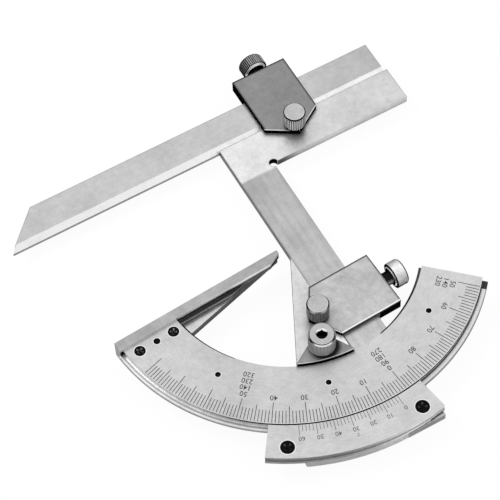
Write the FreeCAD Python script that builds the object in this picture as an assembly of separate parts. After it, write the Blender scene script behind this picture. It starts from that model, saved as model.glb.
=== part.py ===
import FreeCAD, Part
import math
import os

# Universal bevel protractor, lying on its back as it is photographed.
# Lengths are in millimetres and angles in degrees.
#
# Frame: the origin is on the axis of the graduated arc, which is the vertex of the
# measured angle, in the back plane of the blades. X runs along the working face of
# the base ruler, which lies on the -X side. Z points out of the graduated face.
# The sector group is drawn in a frame of its own, u along the straight ruler and
# v away from the vertex, and is then turned by the reading about the Z axis.

# Reading shown in the photograph
reading = 3.5

# Layers, measured from the back plane of the blades
blade_thick = 3.0
slide_gap = 0.1
side_gap = 0.1
scale_top = 6.5

# Graduated arc. Directions on it are measured from the working face of the base
# ruler, which points along 180, so the arc lies between 180 and 360.
arc_end_angle = 313.6
arc_end_offset = 2.5
scale_outer = 68.0
scale_inner = 46.9
scale_step = 1.6
ledge_inner = 45.9
rail_width = 2.0
rail_thick = 1.1

# Base ruler
face_width = 3.5
rib_width = 4.85
face_rise = 1.4
base_end_radius = 69.3
web_end_radius = 68.9
rib_end_inset = 1.0
base_nose = 4.1
nose_flat = 1.3
nose_slant = 25.0
web_nose = 0.35
web_slope = 12.0
strip_bottom = 4.5

# Fasteners of the base ruler, on one line parallel to its working face
fastener_line = 6.6
base_screw_stations = (63.3, 50.0)
base_dowel_station = 56.6
base_screw_head = 2.0
base_screw_shank = 1.0
base_screw_depth = 0.6
dowel_radius = 1.2

# Toothed arc let into the underside of the graduated arc, and its pins
arc_teeth = 156
pinion_teeth = 10
gear_module = 0.75
pressure_angle = 25.0
backlash = 0.12
tooth_addendum = 0.5
root_clearance = 0.2
toothed_inner = 52.4
toothed_thick = 1.3
toothed_first = 204.0
toothed_last = 299.5
recess_gap = 0.1
recess_margin = 2.0
pin_circle = 54.5
pin_angles = (211.8, 251.55, 298.5)
pin_radius = 1.0

# Sector plate. It and the guide stand a little further out than the vernier plate.
sector_step = 0.3
sector_opening = 27.0
sector_apex = 2.4
sector_corner = 1.4
sector_corner_length = 4.0

# Vernier plate and the guide between it and the sector plate. Directions on the
# sector are measured from the edge of the square, counterclockwise positive.
vernier_thick = 2.1
vernier_gap = 0.5
vernier_width = 12.1
vernier_first = -34.9
vernier_last = 10.5
guide_gap = 0.1
guide_relief = 0.3
vernier_screw_inset = 4.1
vernier_screw_angles = (-29.6, 6.1)
vernier_screw_head = 2.5
vernier_screw_shank = 1.25
screw_floor = 0.3

# Screws that hold the guide, entered from the back of the sector plate
guide_screw_inset = 4.9
guide_screw_angles = (-21.0, -5.0)
guide_screw_head = 2.0
guide_screw_shank = 1.0

# Square
square_reach = 48.1
square_width = 14.0
square_length = 69.3
arm_width = 14.2
arm_past_sector = 0.1
relief_radius = 1.6

# Straight ruler
ruler_width = 13.25
ruler_left = 81.9
ruler_right = 68.2
ruler_tip_angle = 45.0
bevel_width = 2.0
bevel_depth = 1.75

# Clamps
clamp_plate = 2.0
clamp_width = 21.2
clamp_wall = 8.7
clamp_shoulder = 15.0
clamp_tip = 21.7
clamp_screw_at = 18.0
ruler_clamp_station = 28.3
sector_clamp_station = 27.8
sector_clamp_skew = 2.7

# Clamp screws
fit_gap = 0.03
clamp_shank = 1.75
clamp_screw_end = 0.4
face_knob_radius = 3.95
face_knob_top = 3.5
face_knob_height = 7.7
face_knob_chamfer = 0.8
side_screw_height = 2.4
side_knob_radius = 4.7
side_knob_length = 4.8
ruler_neck = 1.5
sector_neck = 2.8

# Brake
brake_circle = 41.1
brake_angle = -13.05
brake_top = 8.25
brake_lip_gap = 0.05
brake_first = -25.75
brake_last = -0.6
brake_body_gap = 0.3
brake_inner = 37.8
brake_inner_first = -16.4
brake_inner_last = -9.3
brake_screw_radius = 4.7
brake_screw_height = 7.6
brake_screw_shank = 2.0
brake_screw_end = 0.3
brake_collar_radius = 3.6
brake_collar = 0.15
brake_screw_chamfer = 0.6
hex_across = 3.5
hex_depth = 3.5

# Adjusting knob and its shaft
pinion_angle = -13.0
shaft_radius = 1.5
shaft_fit = 0.03
pinion_gap = 0.1
pinion_thick = 1.1
knob_radius = 7.0
knob_thick = 4.4
knob_gap = 0.3
knob_chamfer = 0.6
knob_end_wall = 1.2

# Reach of the cutting bodies past what they cut
cut_reach = 5.0

# Values that follow from those above
scale_bottom = blade_thick + slide_gap
ledge_top = scale_top - scale_step
rail_outer = scale_outer + rail_width
vernier_inner = scale_outer + vernier_gap
vernier_outer = vernier_inner + vernier_width
vernier_screw_circle = vernier_outer - vernier_screw_inset
sector_outer = vernier_outer + sector_step
guide_screw_circle = sector_outer - guide_screw_inset
arm_below = sector_outer + arm_past_sector
rail_top = scale_bottom + rail_thick
vernier_bottom = scale_top - vernier_thick
arc_pitch = gear_module * arc_teeth / 2
pinion_pitch = gear_module * pinion_teeth / 2
pinion_circle = arc_pitch + pinion_pitch
tooth_depth = tooth_addendum + root_clearance
recess_top = scale_bottom + recess_gap + toothed_thick
recess_outer = pinion_circle + pinion_pitch + tooth_depth
recess_floor = toothed_inner / 2
clamp_top = blade_thick + clamp_plate
base_top = scale_top + face_rise


def turned(shape, angle):
    """The shape turned about the Z axis."""
    copy = shape.copy()
    copy.rotate(FreeCAD.Vector(0, 0, 0), FreeCAD.Vector(0, 0, 1), angle)
    return copy


def in_sector(shape):
    """The shape moved from the frame of the sector group into that of the base."""
    return turned(shape, -reading)


def sector_angle(angle):
    """Direction in the sector's frame of an angle from the edge of the square."""
    return angle - 90


def polar(radius, angle, z=0.0):
    """Point at a radius and a direction."""
    a = math.radians(angle)
    return FreeCAD.Vector(radius * math.cos(a), radius * math.sin(a), z)


def prism(corners, bottom, top):
    """Upright prism on a list of plan corners."""
    points = [FreeCAD.Vector(x, y, bottom) for x, y in corners]
    points.append(points[0])
    face = Part.Face(Part.makePolygon(points))
    return face.extrude(FreeCAD.Vector(0, 0, top - bottom))


def disc(radius, bottom, top, x=0.0, y=0.0):
    """Upright cylinder."""
    return Part.makeCylinder(radius, top - bottom, FreeCAD.Vector(x, y, bottom))


def arc_band(inner, outer, bottom, top, first, last):
    """Part of a flat ring between two directions."""
    a = polar(inner, first, bottom)
    b = polar(outer, first, bottom)
    c = polar(outer, (first + last) / 2, bottom)
    d = polar(outer, last, bottom)
    e = polar(inner, last, bottom)
    f = polar(inner, (first + last) / 2, bottom)
    edges = [
        Part.makeLine(a, b),
        Part.Arc(b, c, d).toShape(),
        Part.makeLine(d, e),
        Part.Arc(e, f, a).toShape(),
    ]
    face = Part.Face(Part.Wire(edges))
    return face.extrude(FreeCAD.Vector(0, 0, top - bottom))


def turned_profile(points):
    """Solid of revolution about the Z axis from (radius, height) corners."""
    corners = [FreeCAD.Vector(r, 0, z) for r, z in points]
    corners.append(corners[0])
    face = Part.Face(Part.makePolygon(corners))
    return face.revolve(FreeCAD.Vector(0, 0, 0), FreeCAD.Vector(0, 0, 1), 360)


def countersunk_screw(head, shank, bottom, top):
    """Screw whose flat head is level with the height given as its top."""
    cone = head - shank
    return turned_profile([
        (0, bottom), (shank, bottom), (shank, top - cone), (head, top), (0, top),
    ])


def grouped(solids):
    """Several separate solids kept together as one sub-part."""
    return Part.makeCompound(solids)


def base_point(station):
    """Plan point on the line of the base ruler's fasteners."""
    return (-station, -fastener_line)


def base_screws():
    """Two countersunk screws that hold the arc on the base ruler."""
    screws = []
    for station in base_screw_stations:
        x, y = base_point(station)
        screw = countersunk_screw(base_screw_head, base_screw_shank, base_screw_depth, scale_top)
        screw.translate(FreeCAD.Vector(x, y, 0))
        screws.append(screw)
    return grouped(screws)


def base_dowel():
    """Dowel that locates the arc on the base ruler."""
    x, y = base_point(base_dowel_station)
    return disc(dowel_radius, base_screw_depth, scale_top, x, y)


def toothed_arc_pins():
    """Three pins through the graduated arc that hold the toothed arc."""
    pins = []
    for angle in pin_angles:
        p = polar(pin_circle, angle)
        pins.append(disc(pin_radius, scale_bottom + recess_gap, scale_top, p.x, p.y))
    return grouped(pins)


def beside_base(width):
    """Room taken by the base ruler, from its working face to a line inside the arc."""
    far = rail_outer + cut_reach
    return prism([(-far, -width), (far, -width), (far, far), (-far, far)], -1, base_top + 1)


def beyond_end():
    """Room beyond the free end of the arc, which is cut parallel to a radius."""
    far = rail_outer + cut_reach
    low = arc_end_offset
    return turned(prism([(0, low), (far, low), (far, far), (0, far)], -1, base_top + 1), arc_end_angle)


def half_ring(inner, outer, bottom, top):
    """Flat half ring on the side of the base ruler's web."""
    room = prism([(-outer, 0), (-outer, -outer), (outer, -outer), (outer, 0)], bottom, top)
    ring = disc(outer, bottom, top).cut(disc(inner, bottom - 1, top + 1))
    return ring.common(room)


def graduated_arc():
    """Arc with the scale, stepped on both rims, with a recess for the toothed arc."""
    body = half_ring(ledge_inner, scale_outer, scale_bottom, ledge_top)
    face = half_ring(scale_inner, scale_outer, ledge_top, scale_top)
    rail = half_ring(scale_outer - rib_end_inset, rail_outer, scale_bottom, rail_top)
    recess = arc_band(
        toothed_inner, recess_outer, scale_bottom - 1, recess_top,
        toothed_first - recess_margin, toothed_last + recess_margin,
    )
    body = body.cut(beside_base(rib_width)).fuse(rail.cut(beside_base(face_width)))
    body = body.cut(recess).fuse(face.cut(beside_base(face_width))).removeSplitter()
    body = body.cut(beyond_end())
    return body.cut(toothed_arc_pins()).cut(base_screws()).cut(base_dowel())


def toothed_arc():
    """Toothed arc, its teeth pointing outwards, in mesh with the pinion at rest."""
    root = arc_pitch - tooth_depth
    tip = arc_pitch + tooth_addendum
    pitch = 360 / arc_teeth
    slope = math.tan(math.radians(pressure_angle))
    half_tooth = pitch / 4 - math.degrees(backlash / 4 / arc_pitch)
    half_root = half_tooth + math.degrees(tooth_depth * slope / arc_pitch)
    half_tip = half_tooth - math.degrees(tooth_addendum * slope / arc_pitch)
    space = sector_angle(pinion_angle) - reading + 360
    before = int((space - toothed_first) / pitch)
    after = int((toothed_last - space) / pitch)
    outline = [polar(recess_floor, toothed_first), polar(root, toothed_first)]
    for i in range(-before, after):
        centre = space + (i + 0.5) * pitch
        outline.append(polar(root, centre - half_root))
        outline.append(polar(tip, centre - half_tip))
        outline.append(polar(tip, centre + half_tip))
        outline.append(polar(root, centre + half_root))
    outline = outline + [polar(root, toothed_last), polar(recess_floor, toothed_last)]
    bottom = scale_bottom + recess_gap
    arc = prism([(p.x, p.y) for p in outline], bottom, recess_top)
    return arc.cut(disc(toothed_inner, bottom - 1, recess_top + 1)).cut(toothed_arc_pins())


def flank(radius, base):
    """Angle in degrees that the involute has turned through at a radius."""
    if radius <= base:
        return 0.0
    pressure = math.acos(base / radius)
    return math.degrees(math.tan(pressure) - pressure)


def pinion_profile():
    """Outline of the pinion, one tooth pointing along -X, at the toothed arc."""
    base = pinion_pitch * math.cos(math.radians(pressure_angle))
    root = pinion_pitch - tooth_depth
    tip = pinion_pitch + tooth_addendum
    half = 90 / pinion_teeth - math.degrees(backlash / 4 / pinion_pitch)
    at_pitch = flank(pinion_pitch, base)
    steps = 2
    radii = [root] + [base + (tip - base) * i / steps for i in range(steps + 1)]
    outline = []
    for tooth in range(pinion_teeth):
        centre = 180 + 360 * tooth / pinion_teeth
        lower = [(r, centre - half - at_pitch + flank(r, base)) for r in radii]
        upper = [(r, centre + half + at_pitch - flank(r, base)) for r in reversed(radii)]
        outline = outline + lower + upper
    points = [polar(r, a) for r, a in outline]
    return [(p.x, p.y) for p in points]


def shaft_place(shape):
    """The shape moved to the axis of the pinion, with its +X pointing outwards."""
    angle = sector_angle(pinion_angle)
    moved = turned(shape, angle)
    moved.translate(polar(pinion_circle, angle))
    return moved


def pinion_shaft():
    """Pinion and its shaft, one piece, pressed into the adjusting knob."""
    bottom = blade_thick + pinion_gap
    pinion = prism(pinion_profile(), bottom, bottom + pinion_thick)
    shaft = disc(shaft_radius, knob_end_wall - knob_gap - knob_thick, bottom + pinion_thick)
    return in_sector(shaft_place(shaft.fuse(pinion).removeSplitter()))


def adjusting_knob():
    """Flat knob on the back that turns the pinion."""
    top = -knob_gap
    bottom = top - knob_thick
    knob = turned_profile([
        (0, bottom), (knob_radius - knob_chamfer, bottom), (knob_radius, bottom + knob_chamfer),
        (knob_radius, top), (0, top),
    ])
    return in_sector(shaft_place(knob.cut(disc(shaft_radius, bottom + knob_end_wall, top + 1))))


def face_screw_point(station, across):
    """Plan point of a face screw of the sector clamp."""
    return (arm_width + side_gap - across, -station)


def guide_screws():
    """Two countersunk screws from the back of the sector plate into the guide."""
    screws = []
    end = vernier_bottom - screw_floor
    cone = guide_screw_head - guide_screw_shank
    for angle in guide_screw_angles:
        screw = turned_profile([
            (0, 0), (guide_screw_head, 0), (guide_screw_shank, cone),
            (guide_screw_shank, end), (0, end),
        ])
        screw.translate(polar(guide_screw_circle, sector_angle(angle)))
        screws.append(screw)
    return in_sector(grouped(screws))


def vernier_screws():
    """Two countersunk screws at the ends of the vernier plate."""
    screws = []
    for angle in vernier_screw_angles:
        screw = countersunk_screw(
            vernier_screw_head, vernier_screw_shank, blade_thick + screw_floor, scale_top,
        )
        screw.translate(polar(vernier_screw_circle, sector_angle(angle)))
        screws.append(screw)
    return in_sector(grouped(screws))


def vernier_plate():
    """Vernier plate, its inner edge just outside the scale."""
    plate = arc_band(
        vernier_inner, vernier_outer, vernier_bottom, scale_top,
        sector_angle(vernier_first), sector_angle(vernier_last),
    )
    return in_sector(plate).cut(vernier_screws())


def vernier_guide():
    """Curved guide between the vernier plate and the sector plate, outside the rail."""
    guide = arc_band(
        rail_outer + guide_gap, sector_outer, blade_thick, vernier_bottom,
        sector_angle(vernier_first), sector_angle(vernier_last),
    )
    far = sector_outer + cut_reach
    over_arm = prism([(0, 0), (0, -far), (far, -far), (far, 0)], 0, blade_thick + guide_relief)
    return in_sector(guide.cut(over_arm)).cut(vernier_screws()).cut(guide_screws())


def brake_bore():
    """Bore of the brake screw through the shoe and the sector plate."""
    centre = polar(brake_circle, sector_angle(brake_angle))
    return disc(brake_screw_shank + fit_gap, -1, brake_top + 1, centre.x, centre.y)


def sector_plate():
    """Plate that carries the vernier, the brake, the pinion and the sector clamp."""
    apex = FreeCAD.Vector(0, -sector_apex, 0)
    left = sector_angle(-sector_opening)
    far = sector_outer + cut_reach
    edge_end = apex + polar(far, left)
    wedge = prism([(0, apex.y), (edge_end.x, edge_end.y), (edge_end.x, -far), (0, -far)], 0, blade_thick)
    plate = wedge.common(disc(sector_outer, 0, blade_thick))
    start = apex + polar(sector_outer - sector_apex - sector_corner_length, left)
    end = start + polar(2 * sector_corner_length, left)
    inside = end + polar(2 * sector_corner, left + 90)
    plate = plate.cut(prism([(start.x, start.y), (end.x, end.y), (inside.x, inside.y)], -1, blade_thick + 1))
    x, y = face_screw_point(sector_clamp_station, clamp_screw_at)
    plate = plate.cut(disc(clamp_shank + fit_gap, -1, blade_thick + 1, x, y))
    plate = plate.cut(shaft_place(disc(shaft_radius + shaft_fit, -1, blade_thick + 1)))
    return in_sector(plate.cut(brake_bore())).cut(guide_screws())


def square():
    """Square with a relief at its inner corner."""
    top = square_reach
    inner = square_reach - square_width
    plan = [
        (0, top), (0, -arm_below), (arm_width, -arm_below), (arm_width, inner),
        (square_length, inner), (square_length, top),
    ]
    body = prism(plan, 0, blade_thick)
    body = body.cut(disc(relief_radius, -1, blade_thick + 1, arm_width, inner))
    x = ruler_clamp_station
    y = square_reach + ruler_width + side_gap - clamp_screw_at
    body = body.cut(disc(clamp_shank + fit_gap, -1, blade_thick + 1, x, y))
    return in_sector(body)


def straight_ruler():
    """Straight ruler with its bevelled working edge against the square."""
    front = square_reach
    back = square_reach + ruler_width
    tip = ruler_width / math.tan(math.radians(ruler_tip_angle))
    plan = [(-ruler_left, front), (ruler_right, front), (ruler_right, back), (-ruler_left + tip, back)]
    bar = prism(plan, 0, blade_thick)
    far = ruler_left + ruler_right
    land = blade_thick - bevel_depth
    corners = [
        FreeCAD.Vector(-far, front, land),
        FreeCAD.Vector(-far, front + bevel_width, blade_thick),
        FreeCAD.Vector(-far, front, blade_thick + bevel_depth),
        FreeCAD.Vector(-far, front - bevel_width, blade_thick),
    ]
    corners.append(corners[0])
    wedge = Part.Face(Part.makePolygon(corners)).extrude(FreeCAD.Vector(2 * far, 0, 0))
    return in_sector(bar.cut(wedge))


def clamp_blank(skew):
    """Clamp with its wall along +Y and its tip along -Y, the wall standing at y = 0."""
    half = clamp_width / 2
    outline = [
        (-half, clamp_wall), (-half, -clamp_shoulder), (0, -clamp_tip),
        (half, -clamp_shoulder), (half, clamp_wall),
    ]
    body = prism(outline, 0, clamp_top)
    body = body.cut(side_screw_hole())
    pivot = FreeCAD.Vector(0, -clamp_screw_at, 0)
    body.rotate(pivot, FreeCAD.Vector(0, 0, 1), skew)
    far = clamp_tip + clamp_width
    channel = prism([(-far, 0), (-far, -far), (far, -far), (far, 0)], -1, blade_thick)
    body = body.cut(channel)
    return body.cut(disc(clamp_shank + fit_gap, -1, clamp_top + 1, 0, -clamp_screw_at))


def side_screw_hole():
    """Bore of the side screw through the wall of a clamp."""
    return Part.makeCylinder(
        clamp_shank + fit_gap, 2 * clamp_wall,
        FreeCAD.Vector(0, -clamp_wall / 2, side_screw_height), FreeCAD.Vector(0, 1, 0),
    )


def at_ruler_clamp(shape):
    """The shape moved from the clamp's own frame to the ruler clamp."""
    moved = shape.copy()
    back = square_reach + ruler_width + side_gap
    moved.translate(FreeCAD.Vector(ruler_clamp_station, back, 0))
    return in_sector(moved)


def at_sector_clamp(shape):
    """The shape moved from the clamp's own frame to the sector clamp."""
    moved = turned(shape, -90)
    moved.translate(FreeCAD.Vector(arm_width + side_gap, -sector_clamp_station, 0))
    return in_sector(moved)


def face_screw_blank():
    """Knurled face screw of a clamp."""
    top = clamp_top + face_knob_height
    screw = turned_profile([
        (0, clamp_screw_end), (clamp_shank, clamp_screw_end), (clamp_shank, clamp_top),
        (face_knob_radius, clamp_top), (face_knob_radius, top - face_knob_chamfer),
        (face_knob_top, top), (0, top),
    ])
    screw.translate(FreeCAD.Vector(0, -clamp_screw_at, 0))
    return screw


def side_screw_blank(neck, skew):
    """Knurled side screw of a clamp, its end against the edge of the bar."""
    knob = clamp_wall + neck
    end = knob + side_knob_length
    screw = turned_profile([
        (0, side_gap / 2), (clamp_shank, side_gap / 2), (clamp_shank, knob),
        (side_knob_radius, knob), (side_knob_radius, end), (0, end),
    ])
    screw.rotate(FreeCAD.Vector(0, 0, 0), FreeCAD.Vector(1, 0, 0), -90)
    screw.translate(FreeCAD.Vector(0, 0, side_screw_height))
    screw.rotate(FreeCAD.Vector(0, -clamp_screw_at, 0), FreeCAD.Vector(0, 0, 1), skew)
    return screw


def brake_shoe():
    """Brake shoe on the sector plate, its lip over the inner ledge of the arc."""
    lip_outer = scale_inner - side_gap
    body_outer = ledge_inner - brake_body_gap
    lip_bottom = ledge_top + brake_lip_gap
    a0 = sector_angle(brake_inner_first)
    a1 = sector_angle(brake_first)
    b0 = sector_angle(brake_inner_last)
    b1 = sector_angle(brake_last)
    far = scale_inner + cut_reach
    p = polar(brake_inner, a0)
    q = polar(lip_outer, a1)
    r = polar(lip_outer, b1)
    s = polar(brake_inner, b0)
    k = far / lip_outer
    plan = [(p.x, p.y), (q.x, q.y), (q.x * k, q.y * k), (r.x * k, r.y * k), (r.x, r.y), (s.x, s.y)]
    block = prism(plan, blade_thick, brake_top).common(disc(lip_outer, 0, brake_top))
    under = disc(far, 0, lip_bottom).cut(disc(body_outer, -1, lip_bottom + 1))
    block = block.cut(under)
    return in_sector(block.cut(brake_bore()))


def hexagon(across, bottom, top):
    """Hexagonal socket."""
    corner = across / math.sqrt(3)
    corners = [polar(corner, 60 * i) for i in range(6)]
    return prism([(c.x, c.y) for c in corners], bottom, top)


def brake_screw():
    """Knurled brake screw with a hexagon socket in its head."""
    seat = brake_top
    top = seat + brake_screw_height
    c = brake_screw_chamfer
    r = brake_screw_radius
    screw = turned_profile([
        (0, brake_screw_end), (brake_screw_shank, brake_screw_end), (brake_screw_shank, seat),
        (brake_collar_radius, seat), (brake_collar_radius, seat + brake_collar),
        (r, seat + brake_collar), (r, top - c), (r - c, top), (0, top),
    ])
    screw = screw.cut(hexagon(hex_across, top - hex_depth, top + 1))
    screw.translate(polar(brake_circle, sector_angle(brake_angle)))
    return in_sector(screw)


def base_ruler():
    """Base ruler: raised strip with the working face, rib, and three-cornered web."""
    far = base_end_radius + cut_reach
    rise = face_width - nose_flat
    slant = rise / math.tan(math.radians(nose_slant))
    nose = -base_nose
    strip = [
        (-far, 0), (nose, 0), (nose, -nose_flat), (nose - slant, -face_width), (-far, -face_width),
    ]
    drop = web_nose + (far - base_nose) * math.tan(math.radians(web_slope))
    trimmed = [(-far, 0), (nose, 0), (nose, -web_nose), (-far, -drop)]
    rib_room = [(-far, 0), (0, 0), (0, -rib_width), (-far, -rib_width)]
    end_room = [(-far, 0), (0, 0), (0, -face_width), (-far, -face_width)]
    upper = prism(strip, strip_bottom, base_top)
    wedge = prism(trimmed, 0, ledge_top)
    rib = wedge.common(prism(rib_room, 0, ledge_top)).common(disc(scale_outer - rib_end_inset, 0, ledge_top))
    end = wedge.common(prism(end_room, 0, ledge_top))
    body = upper.fuse(rib).fuse(end).common(disc(base_end_radius, -1, base_top + 1))
    web = prism(trimmed, 0, scale_bottom).common(disc(web_end_radius, -1, scale_bottom + 1))
    body = body.fuse(web).removeSplitter()
    return body.cut(base_screws()).cut(base_dowel())


parts = {
    "graduated_arc": graduated_arc(),
    "toothed_arc": toothed_arc(),
    "toothed_arc_pins": toothed_arc_pins(),
    "base_ruler": base_ruler(),
    "base_ruler_screws": base_screws(),
    "base_ruler_dowel": base_dowel(),
    "sector_plate": sector_plate(),
    "vernier_plate": vernier_plate(),
    "vernier_guide": vernier_guide(),
    "vernier_screws": vernier_screws(),
    "guide_screws": guide_screws(),
    "brake_shoe": brake_shoe(),
    "brake_screw": brake_screw(),
    "pinion_shaft": pinion_shaft(),
    "adjusting_knob": adjusting_knob(),
    "sector_clamp": at_sector_clamp(clamp_blank(sector_clamp_skew)),
    "sector_clamp_face_screw": at_sector_clamp(face_screw_blank()),
    "sector_clamp_side_screw": at_sector_clamp(side_screw_blank(sector_neck, sector_clamp_skew)),
    "square": square(),
    "ruler_clamp": at_ruler_clamp(clamp_blank(0)),
    "ruler_clamp_face_screw": at_ruler_clamp(face_screw_blank()),
    "ruler_clamp_side_screw": at_ruler_clamp(side_screw_blank(ruler_neck, 0)),
    "straight_ruler": straight_ruler(),
}

os.makedirs("parts", exist_ok=True)
for name, shape in parts.items():
    shape.exportStep("parts/" + name + ".step")
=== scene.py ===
import math

import bmesh
import bpy
from mathutils import Matrix, Vector


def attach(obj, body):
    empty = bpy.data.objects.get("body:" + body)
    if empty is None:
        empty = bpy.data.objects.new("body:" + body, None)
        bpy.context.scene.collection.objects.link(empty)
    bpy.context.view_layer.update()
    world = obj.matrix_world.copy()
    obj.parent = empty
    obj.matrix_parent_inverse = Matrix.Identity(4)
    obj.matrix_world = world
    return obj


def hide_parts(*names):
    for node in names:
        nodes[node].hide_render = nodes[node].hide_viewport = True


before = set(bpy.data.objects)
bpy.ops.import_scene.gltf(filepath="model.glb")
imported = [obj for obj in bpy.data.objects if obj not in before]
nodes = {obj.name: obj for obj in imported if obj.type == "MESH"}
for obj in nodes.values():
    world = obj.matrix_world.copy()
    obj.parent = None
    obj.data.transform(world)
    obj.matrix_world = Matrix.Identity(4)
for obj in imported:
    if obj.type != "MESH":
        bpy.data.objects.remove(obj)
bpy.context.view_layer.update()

MM = 0.001
scene = bpy.context.scene

# The same values as in the part's source, in millimetres and degrees. Directions on the
# sector are measured from the edge of the square.
READING = 3.5
SCALE_TOP = 6.5
SCALE_OUTER = 68.0
CLAMP_TOP = 5.0
CLAMP_WALL = 8.7
CLAMP_SCREW_AT = 18.0
SIDE_SCREW_HEIGHT = 2.4
SIDE_KNOB_LENGTH = 4.8
FASTENER_LINE = 6.6
BASE_SCREW_STATIONS = (63.3, 50.0)
DOWEL_STATION = 56.6
PIN_CIRCLE = 54.5
PIN_ANGLES = (211.8, 251.55, 298.5)
VERNIER_SCREW_CIRCLE = 76.5
VERNIER_SCREW_ANGLES = (-29.6, 6.1)
BRAKE_CIRCLE = 41.1
BRAKE_ANGLE = -13.05
BRAKE_TOP = 15.85
ADJUSTER_CIRCLE = 62.25
ADJUSTER_ANGLE = -13.0

# Directions of the scale's figure 0 and, on the sector, of the vernier's zero
ZERO_AT = -87.5
VERNIER_ZERO = 2.5

# Line across the square between its long arm and its arm under the sector clamp
ARM_LINE = 32.1

# Height of the engraved lines and figures above their face
LINE_RISE = 0.012

# Height of the floor, and half its width
FLOOR_AT = -5.2
FLOOR_HALF = 3000.0

sector_turn = Matrix.Rotation(math.radians(-READING), 4, "Z")


def level(value):
    """A grey level from 0 to 255 as a linear value."""
    v = value / 255
    return v / 12.92 if v <= 0.04045 else ((v + 0.055) / 1.055) ** 2.4


def grey(value):
    v = level(value)
    return (v, v, v, 1.0)


def polar(radius, angle):
    a = math.radians(angle)
    return (radius * math.cos(a), radius * math.sin(a))


def moved(x, y, z=0.0):
    """A shift in millimetres."""
    return Matrix.Translation((x * MM, y * MM, z * MM))


# ---------------------------------------------------------------- materials

class Tree:
    """Short calls for building a material's nodes."""

    def __init__(self, name):
        self.material = bpy.data.materials.new(name)
        self.material.use_nodes = True
        self.tree = self.material.node_tree
        self.shader = self.tree.nodes["Principled BSDF"]
        self.coords = self.add("ShaderNodeTexCoord")

    def add(self, kind, **values):
        node = self.tree.nodes.new(kind)
        for key, value in values.items():
            setattr(node, key, value)
        return node

    def link(self, a, b):
        self.tree.links.new(a, b)

    def put(self, socket, value):
        if hasattr(value, "is_output"):
            self.link(value, socket)
        else:
            socket.default_value = value

    def math(self, operation, a, b=0.0, clamp=False):
        node = self.add("ShaderNodeMath", operation=operation, use_clamp=clamp)
        self.put(node.inputs[0], a)
        self.put(node.inputs[1], b)
        return node.outputs[0]

    def dot(self, a, b):
        node = self.add("ShaderNodeVectorMath", operation="DOT_PRODUCT")
        self.put(node.inputs[0], a)
        self.put(node.inputs[1], b)
        return node.outputs["Value"]

    def length(self, x, y):
        """Length of a plan vector."""
        squares = self.math("ADD", self.math("MULTIPLY", x, x), self.math("MULTIPLY", y, y))
        return self.math("SQRT", squares)

    def mix(self, factor, a, b, blend="MIX"):
        node = self.add("ShaderNodeMix", data_type="RGBA", blend_type=blend)
        self.put(node.inputs[0], factor)
        self.put(node.inputs[6], a)
        self.put(node.inputs[7], b)
        return node.outputs[2]

    def ramp(self, value, stops):
        node = self.add("ShaderNodeValToRGB")
        self.put(node.inputs[0], value)
        ramp = node.color_ramp
        while len(ramp.elements) < len(stops):
            ramp.elements.new(0.5)
        for element, (position, colour) in zip(ramp.elements, stops):
            element.position = position
            element.color = colour
        return node.outputs[0]

    def mapped(self, turn=0.0, scale=(1, 1, 1)):
        """Object coordinates turned about Z, then stretched."""
        first = self.add("ShaderNodeMapping")
        first.inputs["Rotation"].default_value = (0, 0, math.radians(-turn))
        self.link(self.coords.outputs["Object"], first.inputs[0])
        second = self.add("ShaderNodeMapping")
        second.inputs["Scale"].default_value = scale
        self.link(first.outputs[0], second.inputs[0])
        return second.outputs[0]

    def noise(self, vector, scale, detail=3.0, rough=0.55):
        node = self.add("ShaderNodeTexNoise")
        self.put(node.inputs["Vector"], vector)
        node.inputs["Scale"].default_value = scale
        node.inputs["Detail"].default_value = detail
        node.inputs["Roughness"].default_value = rough
        return node.outputs["Fac"]

    def upright(self):
        """How far the surface faces up or down, from 0 to 1."""
        split = self.add("ShaderNodeSeparateXYZ")
        self.link(self.coords.outputs["Normal"], split.inputs[0])
        return self.math("ABSOLUTE", split.outputs[2])

    def edges(self, radius, gain):
        """1 near an edge and 0 on the flat, and how far that edge faces the light side."""
        bevel = self.add("ShaderNodeBevel", samples=8)
        bevel.inputs["Radius"].default_value = radius
        geometry = self.add("ShaderNodeNewGeometry")
        gap = self.math("SUBTRACT", 1.0, self.dot(bevel.outputs[0], geometry.outputs["Normal"]))
        lit = self.dot(bevel.outputs[0], (0.0, -1.0, 0.0))
        share = self.math("SUBTRACT", self.math("MULTIPLY", lit, 6.0), 1.0, clamp=True)
        return self.math("MULTIPLY", gap, gain, clamp=True), share


def place_of(t, turn=0.0):
    """The three object coordinates, turned about Z."""
    split = t.add("ShaderNodeSeparateXYZ")
    t.link(t.mapped(turn), split.inputs[0])
    return split.outputs


def height_share(t, low, high):
    """1 between two heights in millimetres, and 0 elsewhere."""
    height = place_of(t)[2]
    above = t.math("GREATER_THAN", height, low * MM)
    below = t.math("LESS_THAN", height, high * MM)
    return t.math("MULTIPLY", above, below)


def graded(t, value, first, last, stops):
    """Grey levels along a value in millimetres, by its share of the way from first to last."""
    share = t.math("MULTIPLY", t.math("SUBTRACT", value, first * MM), 1 / (last - first) / MM)
    return t.ramp(share, [(position, grey(shade)) for position, shade in stops])


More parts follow.
